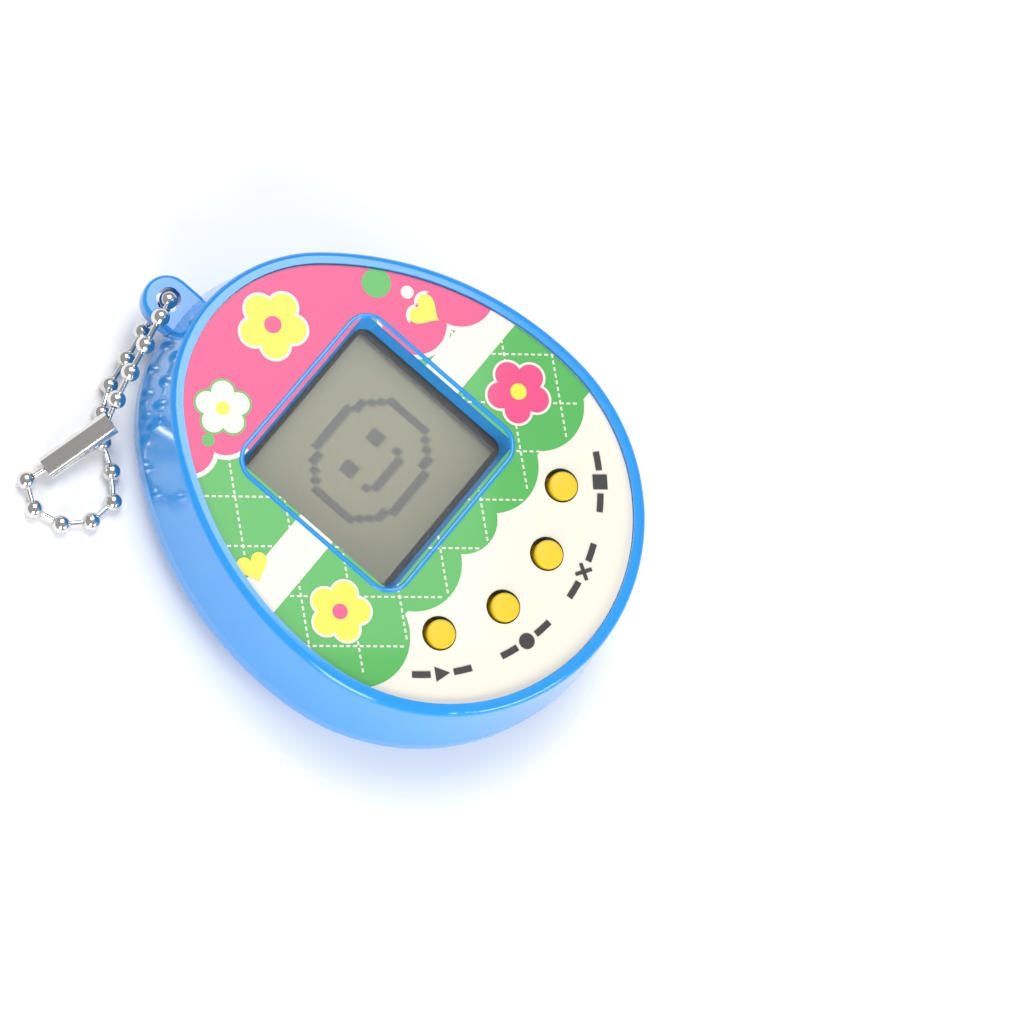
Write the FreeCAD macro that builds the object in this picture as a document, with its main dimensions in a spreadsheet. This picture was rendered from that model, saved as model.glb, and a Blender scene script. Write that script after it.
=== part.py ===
import FreeCAD, Part
import math
import os
import Sketcher

# Egg-shaped electronic pet on a ball chain. It lies on its flat back.
# Origin: middle of the flat back face. +Z is the face's outward normal, +Y points to the chain lug.

SIZES = [
    # Egg outline: four arcs that meet in tangents. The face label has this outline.
    ("egg_length", 52.0), ("egg_bottom_radius", 21.2), ("egg_top_radius", 15.7), ("egg_flank_radius", 36.1),
    # Heights above the back face
    ("seam_level", 5.2), ("label_level", 15.0), ("rim_height", 0.5), ("plate_thickness", 1.9),
    # Shells: how far each outline stands outside the label's outline
    ("seam_overhang", 2.5), ("rim_overhang", 1.3), ("cavity_overhang", 0.2), ("rim_round", 0.75),
    ("back_round", 3.4), ("back_floor", 1.5), ("lip_height", 1.2), ("lip_wall", 0.9),
    ("label_thickness", 0.15), ("label_gap", 0.05),
    # Window
    ("window_centre", 3.6), ("window_half_width", 10.35), ("window_half_height", 10.0),
    ("window_corner", 1.55),
    ("bevel_width", 1.25), ("bevel_corner", 2.4), ("lens_thickness", 0.8), ("lens_margin", 1.3),
    # Display stack
    ("gasket_height", 0.8), ("gasket_width", 1.9), ("film_thickness", 0.15), ("glass_thickness", 0.9),
    ("glass_half_width", 12.4), ("glass_half_height", 12.0), ("glass_ledge", 2.4), ("film_margin", 0.6),
    ("zebra_depth", 1.8),
    # Circuit board
    ("board_top", 9.0), ("board_thickness", 1.0), ("board_inset", 1.2), ("notch_gap", 0.35),
    # Buttons
    ("inner_button_x", 3.8), ("inner_button_y", -16.8), ("outer_button_x", 10.65), ("outer_button_y", -13.4),
    ("button_radius", 1.55), ("button_hole_radius", 1.85), ("button_proud", 0.5), ("button_shift", -0.17),
    ("button_round", 0.3), ("flange_radius", 2.1), ("flange_thickness", 0.8), ("flange_gap", 0.1),
    ("pad_gap", 0.05), ("keypad_thickness", 0.6), ("dome_radius", 2.9),
    ("dome_top_radius", 1.9), ("dome_wall", 0.5), ("pill_radius", 1.1), ("pill_thickness", 0.5),
    # Lug and hole
    ("lug_radius", 2.75), ("lug_thickness", 2.4), ("lug_reach", 4.45), ("lug_level", 7.0),
    ("lug_hole_radius", 1.35), ("lug_round", 0.5),
    # Screws and their bosses
    ("case_screw_radius", 1.0), ("screw_head_radius", 1.8), ("screw_head_height", 1.2), ("pilot_gap", 0.03),
    ("boss_radius", 2.2), ("lower_boss_x", 17.6), ("lower_boss_y", -6.5), ("upper_boss_x", 9.4),
    ("upper_boss_y", 19.6), ("boss_foot", 6.6), ("counterbore_level", 3.2), ("screw_length", 7.5),
    ("board_screw_radius", 0.75), ("board_screw_length", 3.2), ("board_boss_radius", 1.5),
    ("side_board_boss_x", 15.6), ("side_board_boss_y", 4.0), ("end_board_boss_y", -22.2),
    # Button cells and their bay
    ("cell_radius", 5.8), ("cell_height", 5.4), ("cell_spacing", 0.45), ("cell_y", -12.5), ("cell_gap", 0.2),
    ("bay_wall", 0.8), ("bay_roof_thickness", 0.7), ("door_thickness", 1.0), ("door_recess", 0.1),
    ("door_gap", 0.2), ("door_overlap", 1.4),
    ("door_corner", 2.0), ("contact_thickness", 0.2), ("contact_width", 4.0), ("door_ear", 4.4),
    ("door_screw_length", 4.6), ("door_screw_head", 1.6),
    # Sounder
    ("sounder_radius", 7.5), ("sounder_y", 9.0), ("brass_thickness", 0.25), ("ceramic_radius", 5.0),
    ("ceramic_thickness", 0.2), ("sound_hole_radius", 0.6), ("sound_hole_circle", 2.6), ("sound_hole_count", 6),
    ("wire_radius", 0.35),
    # Small parts on the board
    ("chip_length", 1.6), ("chip_width", 0.8), ("chip_height", 0.5), ("crystal_radius", 1.0),
    ("crystal_length", 6.0),
    # Ball chain
    ("ball_radius", 1.0), ("link_radius", 0.3), ("connector_radius", 1.35), ("connector_wall", 0.25),
]

doc = FreeCAD.newDocument("virtual_pet")
sheet = doc.addObject("Spreadsheet::Sheet", "Sizes")
for row, (alias, number) in enumerate(SIZES, start=1):
    sheet.set("A%d" % row, alias)
    sheet.set("B%d" % row, str(number))
    sheet.setAlias("B%d" % row, alias)
doc.recompute()
scratch = doc.addObject("Spreadsheet::Sheet", "Scratch")

NODES = []


def val(alias):
    """A size as the sheet holds it."""
    return float(getattr(sheet, alias))


def cell(text):
    """An expression in which every size name reads its cell of the sheet."""
    words = []
    word = ""
    for letter in text + " ":
        if letter.isalnum() or letter == "_":
            word += letter
            continue
        named = word[:1].isalpha() and word not in ("cos", "sin", "atan")
        words.append("Sizes." + word if named else word)
        words.append(letter)
        word = ""
    return "".join(words).strip()


def keep(feature, label):
    """Marks an object as one physical piece: its label names its file."""
    feature.Label = label
    NODES.append(feature)
    return feature


def bind(feature, **expressions):
    """Binds properties to the sheet. A double underscore stands for a dot."""
    for name, text in expressions.items():
        feature.setExpression(name.replace("__", "."), cell(text))
    return feature


def place(feature, x="0", y="0", z="0"):
    return bind(feature, Placement__Base__x=x, Placement__Base__y=y, Placement__Base__z=z)


# ---------------------------------------------------------------- sketches and bodies

def plane(body, role="XY_Plane"):
    for feature in body.Origin.OriginFeatures:
        if feature.Role == role:
            return feature


def new_body(label):
    body = doc.addObject("PartDesign::Body", label + "_body")
    return keep(body, label)


def sketch_at(body, name, level):
    """An empty sketch parallel to the back face, at a height given as an expression."""
    sketch = body.newObject("Sketcher::SketchObject", name)
    sketch.AttachmentSupport = [(plane(body), "")]
    sketch.MapMode = "FlatFace"
    sketch.setExpression("AttachmentOffset.Base.z", cell(level))
    return sketch


def egg_numbers(grow):
    """Centres and radii of the egg's arcs, grown outwards by a distance."""
    bottom, top, flank = val("egg_bottom_radius"), val("egg_top_radius"), val("egg_flank_radius")
    low = -val("egg_length") / 2 + bottom
    high = val("egg_length") / 2 - top
    reach_low, reach_high = flank - bottom, flank - top
    gap = high - low
    along = (reach_low ** 2 - reach_high ** 2 + gap ** 2) / (2 * gap)
    across = math.sqrt(reach_low ** 2 - along ** 2)
    return low, high, low + along, across, bottom + grow, top + grow, flank + grow


def egg_edges(grow):
    """The egg's four arcs, anticlockwise from the blunt end's right-hand tangent point."""
    low, high, mid, across, bottom, top, flank = egg_numbers(grow)
    lean_low = math.atan2(low - mid, across)
    lean_high = math.atan2(high - mid, across)
    axis = FreeCAD.Vector(0, 0, 1)
    right = Part.Circle(FreeCAD.Vector(-across, mid, 0), axis, flank)
    left = Part.Circle(FreeCAD.Vector(across, mid, 0), axis, flank)
    blunt = Part.Circle(FreeCAD.Vector(0, low, 0), axis, bottom)
    narrow = Part.Circle(FreeCAD.Vector(0, high, 0), axis, top)
    return [
        Part.ArcOfCircle(right, lean_low, lean_high),
        Part.ArcOfCircle(narrow, lean_high, math.pi - lean_high),
        Part.ArcOfCircle(left, math.pi - lean_high, math.pi - lean_low),
        Part.ArcOfCircle(blunt, math.pi - lean_low, 2 * math.pi + lean_low),
    ]


def number_of(expression):
    """Works an expression out in a scratch sheet."""
    scratch.set("A1", "=" + cell(expression))
    scratch.recompute()
    return float(scratch.get("A1"))


def signed(sketch, kind, geometry, point, text):
    """Puts a point at a signed distance from the sketch's origin along X or Y."""
    number = number_of(text)
    if abs(number) < 1e-9:
        axis = -2 if kind == "DistanceX" else -1
        sketch.addConstraint(Sketcher.Constraint("PointOnObject", geometry, point, axis))
    elif number > 0:
        index = sketch.addConstraint(Sketcher.Constraint(kind, -1, 1, geometry, point, number))
        sketch.setExpression("Constraints[%d]" % index, cell(text))
    else:
        index = sketch.addConstraint(Sketcher.Constraint(kind, geometry, point, -1, 1, -number))
        sketch.setExpression("Constraints[%d]" % index, cell("-(" + text + ")"))


def add_egg(sketch, grow):
    """Adds a fully constrained egg that stands outside the label's outline by an expression."""
    number = number_of(grow)
    first = sketch.GeometryCount
    sketch.addGeometry(egg_edges(number), False)
    right, narrow, left, blunt = range(first, first + 4)
    for one, other in ((right, narrow), (narrow, left), (left, blunt), (blunt, right)):
        sketch.addConstraint(Sketcher.Constraint("Tangent", one, 2, other, 1))
    radii = ((narrow, "egg_top_radius"), (blunt, "egg_bottom_radius"), (right, "egg_flank_radius"))
    for arc, radius in radii:
        index = sketch.addConstraint(Sketcher.Constraint("Radius", arc, val(radius) + number))
        sketch.setExpression("Constraints[%d]" % index, cell(radius + " + " + grow))
    sketch.addConstraint(Sketcher.Constraint("Equal", right, left))
    for arc in (narrow, blunt):
        sketch.addConstraint(Sketcher.Constraint("PointOnObject", arc, 3, -2))
    signed(sketch, "DistanceY", blunt, 3, "egg_bottom_radius - egg_length / 2")
    signed(sketch, "DistanceY", narrow, 3, "egg_length / 2 - egg_top_radius")


def add_circle(sketch, radius, x, y):
    number = number_of(radius)
    centre = FreeCAD.Vector(number_of(x), number_of(y), 0)
    circle = sketch.addGeometry(Part.Circle(centre, FreeCAD.Vector(0, 0, 1), number), False)
    index = sketch.addConstraint(Sketcher.Constraint("Radius", circle, number))
    sketch.setExpression("Constraints[%d]" % index, cell(radius))
    signed(sketch, "DistanceX", circle, 3, x)
    signed(sketch, "DistanceY", circle, 3, y)


def add_rounded_rectangle(sketch, half_width, half_height, corner, x="0", y="0"):
    """Four lines and four corner arcs, tied to the sketch's origin."""
    a, b, r = number_of(half_width), number_of(half_height), number_of(corner)
    cx, cy = number_of(x), number_of(y)
    axis = FreeCAD.Vector(0, 0, 1)
    first = sketch.GeometryCount
    corners = [(a - r, b - r), (r - a, b - r), (r - a, r - b), (a - r, r - b)]
    ends = [((a, r - b), (a, b - r)), ((a - r, b), (r - a, b)),
            ((-a, b - r), (-a, r - b)), ((r - a, -b), (a - r, -b))]
    shapes = []
    for number, (line, point) in enumerate(zip(ends, corners)):
        start, end = [FreeCAD.Vector(cx + px, cy + py, 0) for px, py in line]
        centre = FreeCAD.Vector(cx + point[0], cy + point[1], 0)
        turn = number * math.pi / 2
        shapes.append(Part.LineSegment(start, end))
        shapes.append(Part.ArcOfCircle(Part.Circle(centre, axis, r), turn, turn + math.pi / 2))
    sketch.addGeometry(shapes, False)
    for step in range(8):
        one, other = first + step, first + (step + 1) % 8
        sketch.addConstraint(Sketcher.Constraint("Tangent", one, 2, other, 1))
    for arc in (3, 5, 7):
        sketch.addConstraint(Sketcher.Constraint("Equal", first + 1, first + arc))
    index = sketch.addConstraint(Sketcher.Constraint("Radius", first + 1, r))
    sketch.setExpression("Constraints[%d]" % index, cell(corner))
    sketch.addConstraint(Sketcher.Constraint("Vertical", first))
    signed(sketch, "DistanceX", first, 1, "(%s) + (%s)" % (x, half_width))
    signed(sketch, "DistanceX", first + 4, 1, "(%s) - (%s)" % (x, half_width))
    signed(sketch, "DistanceY", first + 2, 1, "(%s) + (%s)" % (y, half_height))
    signed(sketch, "DistanceY", first + 6, 1, "(%s) - (%s)" % (y, half_height))


def pad(body, sketch, length, name):
    feature = body.newObject("PartDesign::Pad", name)
    feature.Profile = sketch
    feature.setExpression("Length", cell(length))
    doc.recompute()
    if "Invalid" in feature.State:
        raise RuntimeError(name + " was not padded")
    return feature


def pocket(body, sketch, length, name, upwards=False):
    """Cuts down from the sketch, or up from it, and makes sure that it cut something."""
    before = body.Shape.Volume
    feature = body.newObject("PartDesign::Pocket", name)
    feature.Profile = sketch
    feature.Reversed = upwards
    feature.setExpression("Length", cell(length))
    doc.recompute()
    if body.Shape.Volume >= before - 1e-6:
        raise RuntimeError(name + " cuts nothing")
    return feature


def loft(body, kind, sections, name):
    feature = body.newObject("PartDesign::" + kind, name)
    feature.Profile = sections[0]
    feature.Sections = sections[1:]
    feature.Ruled = True
    doc.recompute()
    return feature


def round_edges(body, wanted, radius, name):
    """Rounds the edges of the body's last shape that a test picks out."""
    edges = ["Edge%d" % (n + 1) for n, edge in enumerate(body.Shape.Edges) if wanted(edge)]
    base = body.Tip
    feature = body.newObject("PartDesign::Fillet", name)
    feature.Base = (base, edges)
    feature.setExpression("Radius", cell(radius))
    doc.recompute()
    return feature


def at_level(edge, level, half_width):
    """True for an edge that lies flat at a height and belongs to an outline wider than a half-width."""
    box = edge.BoundBox
    flat = abs(box.ZMin - level) < 0.01 and abs(box.ZMax - level) < 0.01
    middle = edge.valueAt((edge.FirstParameter + edge.LastParameter) / 2)
    return flat and math.hypot(middle.x, middle.y) > half_width


# ---------------------------------------------------------------- simple solids

def cylinder(name, radius, height, x="0", y="0", z="0"):
    feature = doc.addObject("Part::Cylinder", name)
    return place(bind(feature, Radius=radius, Height=height), x, y, z)


def cone(name, low, high, height, x, y, z):
    feature = doc.addObject("Part::Cone", name)
    return place(bind(feature, Radius1=low, Radius2=high, Height=height), x, y, z)


def block(name, length, width, height, x, y, z):
    """A box centred on x and y, with its underside at z."""
    feature = bind(doc.addObject("Part::Box", name), Length=length, Width=width, Height=height)
    return place(feature, "(%s) - (%s) / 2" % (x, length), "(%s) - (%s) / 2" % (y, width), z)


def cut(name, base, tool):
    feature = doc.addObject("Part::Cut", name)
    feature.Base = base
    feature.Tool = tool
    return feature


def join(name, shapes):
    feature = doc.addObject("Part::MultiFuse", name)
    feature.Shapes = shapes
    return feature


def group(name, shapes):
    """Several separate solids that are one entry, such as a set of screws."""
    feature = doc.addObject("Part::Compound", name)
    feature.Links = shapes
    return feature


CASE_BOSSES = [("lower_boss_x", "lower_boss_y"), ("-lower_boss_x", "lower_boss_y"),
               ("upper_boss_x", "upper_boss_y"), ("-upper_boss_x", "upper_boss_y")]
BOARD_BOSSES = [("side_board_boss_x", "side_board_boss_y"), ("-side_board_boss_x", "side_board_boss_y"),
                ("0", "end_board_boss_y")]
BUTTONS = [("select", "-outer_button_x", "outer_button_y"), ("decide", "-inner_button_x", "inner_button_y"),
           ("cancel", "inner_button_x", "inner_button_y"), ("reset", "outer_button_x", "outer_button_y")]
LUG_CENTRE = "egg_length / 2 + lug_reach"
LUG_ROOT = "egg_length / 2 + cavity_overhang"
RIM_LEVEL = "label_level + rim_height"
FACE_LEVEL = "label_level - label_thickness"
PLATE_LEVEL = "label_level - label_thickness - plate_thickness"
CELL_X = "cell_radius + cell_spacing"
BAY_HALF_X = CELL_X + " + cell_radius + cell_gap"
BAY_HALF_Y = "cell_radius + cell_gap"
BAY_ROOF = "door_recess + door_thickness + contact_thickness * 2 + cell_height + cell_gap"
DOOR_HALF_X = CELL_X + " + cell_radius + cell_gap + door_overlap"
DOOR_HALF_Y = "cell_radius + cell_gap + door_overlap"
DOOR_SEAT = "door_recess + door_thickness + pad_gap"
DOOR_SCREW_Y = "cell_y + cell_radius + cell_gap + door_overlap + door_ear / 3"


def make_front_shell():
    """Tall front half of the case: drafted wall, rim round the label, bevelled window, button holes and bosses."""
    body = new_body("front_shell")
    seam = sketch_at(body, "front_seam", "seam_level")
    add_egg(seam, "seam_overhang")
    wall = pad(body, seam, RIM_LEVEL + " - seam_level", "front_wall")
    lean = "-atan((seam_overhang - rim_overhang) / (" + RIM_LEVEL + " - seam_level))"
    wall.setExpression("TaperAngle", cell(lean))
    doc.recompute()
    top = number_of(RIM_LEVEL)
    round_edges(body, lambda edge: at_level(edge, top, 5), "rim_round", "rim_rounding")
    recess = sketch_at(body, "label_recess", RIM_LEVEL)
    add_egg(recess, "label_gap")
    pocket(body, recess, "rim_height + label_thickness", "label_seat")
    cavity = sketch_at(body, "front_cavity", "seam_level")
    add_egg(cavity, "cavity_overhang")
    pocket(body, cavity, PLATE_LEVEL + " - seam_level", "front_hollow", upwards=True)
    lug_sketch = sketch_at(body, "lug_outline", "lug_level - lug_thickness / 2")
    add_lug(lug_sketch)
    pad(body, lug_sketch, "lug_thickness", "lug")
    hole = sketch_at(body, "lug_hole_outline", "lug_level + lug_thickness / 2")
    add_circle(hole, "lug_hole_radius", "0", LUG_CENTRE)
    pocket(body, hole, "lug_thickness", "lug_hole")
    tip = number_of(LUG_CENTRE) + val("lug_radius") - 0.1
    round_edges(body, lambda edge: edge.BoundBox.YMax > tip and edge.BoundBox.ZLength < 0.01,
                "lug_round", "lug_rounding")
    for name, places, radius, foot, bore in (
            ("case_boss", CASE_BOSSES, "boss_radius", "boss_foot", "case_screw_radius + pilot_gap"),
            ("board_boss", BOARD_BOSSES, "board_boss_radius", "board_top", "board_screw_radius + pilot_gap")):
        posts = sketch_at(body, name + "_outline", foot)
        bores = sketch_at(body, name + "_bore_outline", foot)
        for x, y in places:
            add_circle(posts, radius, x, y)
            add_circle(bores, bore, x, y)
        pad(body, posts, PLATE_LEVEL + " + 0.2 - (" + foot + ")", name)
        pocket(body, bores, PLATE_LEVEL + " - 0.4 - (" + foot + ")", name + "_bore", upwards=True)
    outer = sketch_at(body, "bevel_top", "label_level")
    add_rounded_rectangle(outer, "window_half_width + bevel_width", "window_half_height + bevel_width",
                          "bevel_corner", "0", "window_centre")
    inner = sketch_at(body, "bevel_bottom", PLATE_LEVEL)
    add_rounded_rectangle(inner, "window_half_width", "window_half_height", "window_corner", "0", "window_centre")
    loft(body, "SubtractiveLoft", [outer, inner], "window")
    holes = sketch_at(body, "button_hole_outline", FACE_LEVEL)
    for _, x, y in BUTTONS:
        add_circle(holes, "button_hole_radius", x, y)
    pocket(body, holes, "plate_thickness", "button_holes")
    return body


def add_lug(sketch):
    """The lug's outline: a round end on the narrow tip, with straight sides that run into the wall."""
    r, end, root = val("lug_radius"), number_of(LUG_CENTRE), number_of(LUG_ROOT)
    centre = FreeCAD.Vector(0, end, 0)
    arc = Part.ArcOfCircle(Part.Circle(centre, FreeCAD.Vector(0, 0, 1), r), 0, math.pi)
    points = [FreeCAD.Vector(-r, end, 0), FreeCAD.Vector(-r, root, 0), FreeCAD.Vector(r, root, 0),
              FreeCAD.Vector(r, end, 0)]
    shapes = [arc] + [Part.LineSegment(one, other) for one, other in zip(points, points[1:])]
    sketch.addGeometry(shapes, False)
    for step in range(4):
        sketch.addConstraint(Sketcher.Constraint("Coincident", step, 2, (step + 1) % 4, 1))
    sketch.addConstraint(Sketcher.Constraint("Vertical", 1))
    sketch.addConstraint(Sketcher.Constraint("Vertical", 3))
    sketch.addConstraint(Sketcher.Constraint("Horizontal", 2))
    signed(sketch, "DistanceX", 0, 3, "0")
    signed(sketch, "DistanceY", 0, 3, LUG_CENTRE)
    signed(sketch, "DistanceX", 0, 1, "lug_radius")
    signed(sketch, "DistanceY", 0, 1, LUG_CENTRE)
    signed(sketch, "DistanceY", 1, 2, LUG_ROOT)


def make_back_shell():
    """Shallow back half: rounded tray with a lip, screw posts, sound holes and the battery bay."""
    body = new_body("back_shell")
    base = sketch_at(body, "back_outline", "0")
    add_egg(base, "seam_overhang")
    pad(body, base, "seam_level", "tray")
    round_edges(body, lambda edge: at_level(edge, 0, 5), "back_round", "tray_rounding")
    lip = sketch_at(body, "lip_outline", "back_floor")
    add_egg(lip, "cavity_overhang - door_gap / 2")
    pad(body, lip, "seam_level + lip_height - back_floor", "lip")
    inside = sketch_at(body, "tray_inside", "back_floor")
    add_egg(inside, "cavity_overhang - door_gap / 2 - lip_wall")
    pocket(body, inside, "seam_level + lip_height - back_floor", "tray_hollow", upwards=True)
    box = sketch_at(body, "bay_outline", "back_floor")
    add_rounded_rectangle(box, BAY_HALF_X + " + bay_wall", BAY_HALF_Y + " + bay_wall", "door_corner", "0", "cell_y")
    pad(body, box, BAY_ROOF + " + bay_roof_thickness - back_floor", "bay_box")
    posts = sketch_at(body, "post_outline", "back_floor")
    for x, y in CASE_BOSSES:
        add_circle(posts, "boss_radius + 0.3", x, y)
    add_circle(posts, "door_screw_head + 0.6", "0", DOOR_SCREW_Y)
    pad(body, posts, "boss_foot - pad_gap - back_floor", "posts")
    shanks = sketch_at(body, "shank_outline", "0")
    heads = sketch_at(body, "head_outline", "0")
    for x, y in CASE_BOSSES:
        add_circle(shanks, "case_screw_radius + door_gap", x, y)
        add_circle(heads, "screw_head_radius + door_gap", x, y)
    pocket(body, shanks, "boss_foot", "shank_holes", upwards=True)
    pocket(body, heads, "counterbore_level", "counterbores", upwards=True)
    seat = sketch_at(body, "door_seat_outline", "0")
    ear_seat = sketch_at(body, "door_ear_seat_outline", "0")
    add_rounded_rectangle(seat, DOOR_HALF_X + " + door_gap", DOOR_HALF_Y + " + door_gap", "door_corner",
                          "0", "cell_y")
    add_circle(ear_seat, "door_ear / 2 + door_gap", "0", DOOR_SCREW_Y)
    pocket(body, seat, DOOR_SEAT, "door_seat", upwards=True)
    pocket(body, ear_seat, DOOR_SEAT, "door_ear_seat", upwards=True)
    bay = sketch_at(body, "bay_inside", "0")
    add_rounded_rectangle(bay, BAY_HALF_X, BAY_HALF_Y, "door_corner - bay_wall", "0", "cell_y")
    pocket(body, bay, BAY_ROOF, "bay", upwards=True)
    thread = sketch_at(body, "door_thread_outline", "0")
    add_circle(thread, "board_screw_radius + pilot_gap", "0", DOOR_SCREW_Y)
    pocket(body, thread, "door_screw_length + door_thickness + pad_gap * 4", "door_thread", upwards=True)
    sounds = sketch_at(body, "sound_hole_outline", "0")
    add_circle(sounds, "sound_hole_radius", "0", "sounder_y")
    for step in range(int(val("sound_hole_count"))):
        turn = "%d * 360deg / sound_hole_count" % step
        add_circle(sounds, "sound_hole_radius", "sound_hole_circle * cos(%s)" % turn,
                   "sounder_y + sound_hole_circle * sin(%s)" % turn)
    pocket(body, sounds, "back_floor", "sound_holes", upwards=True)
    slots = sketch_at(body, "tab_slot_outline", BAY_ROOF)
    for x in ("-(" + CELL_X + ")", CELL_X):
        add_circle(slots, "contact_width / 4", x, "cell_y")
    pocket(body, slots, "bay_roof_thickness", "tab_slots", upwards=True)
    return body


LENS_LEVEL = PLATE_LEVEL + " - lens_thickness"
GASKET_LEVEL = LENS_LEVEL + " - gasket_height"
FRONT_GLASS_LEVEL = GASKET_LEVEL + " - film_thickness - glass_thickness"
REAR_GLASS_LEVEL = FRONT_GLASS_LEVEL + " - glass_thickness"
REFLECTOR_LEVEL = REAR_GLASS_LEVEL + " - film_thickness"
BOARD_LEVEL = "board_top - board_thickness"
FLANGE_TOP = PLATE_LEVEL + " - flange_gap"
DOME_TOP = FLANGE_TOP + " - flange_thickness - pad_gap"
CHIP_PLACES = ((4.5, 1.0), (4.5, 3.0), (4.5, 5.0), (-9.5, 2.0), (-9.5, 6.5))
CELL_LEVEL = "door_recess + door_thickness + contact_thickness + pad_gap"


def flat_part(label, half_width, half_height, corner, height, level, centre="window_centre"):
    """A rounded rectangular sheet, such as the window."""
    body = new_body(label)
    outline = sketch_at(body, label + "_outline", level)
    add_rounded_rectangle(outline, half_width, half_height, corner, "0", centre)
    pad(body, outline, height, label + "_pad")
    return body


def make_label():
    """Printed face sheet: egg outline with openings for the window and the four buttons."""
    body = new_body("face_label")
    outline = sketch_at(body, "label_outline", FACE_LEVEL)
    add_egg(outline, "0")
    pad(body, outline, "label_thickness", "label_sheet")
    opening = sketch_at(body, "label_window", "label_level")
    add_rounded_rectangle(opening, "window_half_width + bevel_width", "window_half_height + bevel_width",
                          "bevel_corner", "0", "window_centre")
    pocket(body, opening, "label_thickness", "label_window_cut")
    holes = sketch_at(body, "label_holes", "label_level")
    for _, x, y in BUTTONS:
        add_circle(holes, "button_hole_radius", x, y)
    pocket(body, holes, "label_thickness", "label_hole_cut")


def make_display():
    """From the front: window, black foam frame, film, two sheets of glass, reflector, tape and contact strip."""
    flat_part("window_lens", "window_half_width + lens_margin", "window_half_height + lens_margin",
              "window_corner", "lens_thickness", LENS_LEVEL)
    gasket = flat_part("display_gasket", "window_half_width + lens_margin", "window_half_height + lens_margin",
                       "window_corner", "gasket_height", GASKET_LEVEL)
    opening = sketch_at(gasket, "gasket_opening", LENS_LEVEL)
    add_rounded_rectangle(opening, "window_half_width + lens_margin - gasket_width",
                          "window_half_height + lens_margin - gasket_width", "window_corner / 4",
                          "0", "window_centre")
    pocket(gasket, opening, "gasket_height", "gasket_cut")
    flat_part("front_polariser", "glass_half_width - film_margin", "glass_half_height - film_margin",
              "film_margin", "film_thickness", GASKET_LEVEL + " - film_thickness")
    flat_part("front_glass", "glass_half_width", "glass_half_height", "film_margin / 3",
              "glass_thickness", FRONT_GLASS_LEVEL)
    short, shifted = "glass_half_height - glass_ledge / 2", "window_centre - glass_ledge / 2"
    flat_part("rear_glass", "glass_half_width", short, "film_margin / 3", "glass_thickness",
              REAR_GLASS_LEVEL, shifted)
    flat_part("display_reflector", "glass_half_width - film_margin", short + " - film_margin",
              "film_margin", "film_thickness", REFLECTOR_LEVEL, shifted)
    tape = block("display_tape_sheet", "glass_half_width", "glass_half_height",
                 REFLECTOR_LEVEL + " - board_top", "0", "window_centre", "board_top")
    keep(tape, "display_tape")
    zebra = block("zebra_bar", "glass_half_width * 2 - film_margin * 2", "zebra_depth",
                  FRONT_GLASS_LEVEL + " - board_top", "0",
                  "window_centre + glass_half_height - glass_ledge / 2", "board_top")
    keep(zebra, "zebra_strip")


def make_board():
    """Circuit board with notches for the case bosses, and the parts soldered to its underside."""
    body = new_body("circuit_board")
    outline = sketch_at(body, "board_outline", BOARD_LEVEL)
    add_egg(outline, "-board_inset")
    pad(body, outline, "board_thickness", "board_sheet")
    notches = sketch_at(body, "board_notches", "board_top")
    holes = sketch_at(body, "board_screw_holes", "board_top")
    for x, y in CASE_BOSSES:
        add_circle(notches, "boss_radius + notch_gap", x, y)
    for x, y in BOARD_BOSSES:
        add_circle(holes, "board_screw_radius + door_gap", x, y)
    pocket(body, notches, "board_thickness", "board_notch_cut")
    pocket(body, holes, "board_thickness", "board_hole_cut")
    blob = cone("chip_drop", "2.6", "4.0", "1.1", "-3", "5", BOARD_LEVEL + " - 1.1")
    keep(blob, "chip_blob")
    chips = []
    for number, (x, y) in enumerate(CHIP_PLACES):
        chips.append(block("chip_part_%d" % number, "chip_length", "chip_width", "chip_height",
                           str(x), str(y), BOARD_LEVEL + " - chip_height"))
    keep(group("chip_part_group", chips), "board_resistors")
    can = cylinder("crystal_tube", "crystal_radius", "crystal_length", "9", "2",
                   BOARD_LEVEL + " - crystal_radius")
    can.Placement.Rotation = FreeCAD.Rotation(FreeCAD.Vector(1, 0, 0), -90)
    keep(can, "clock_crystal")


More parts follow.
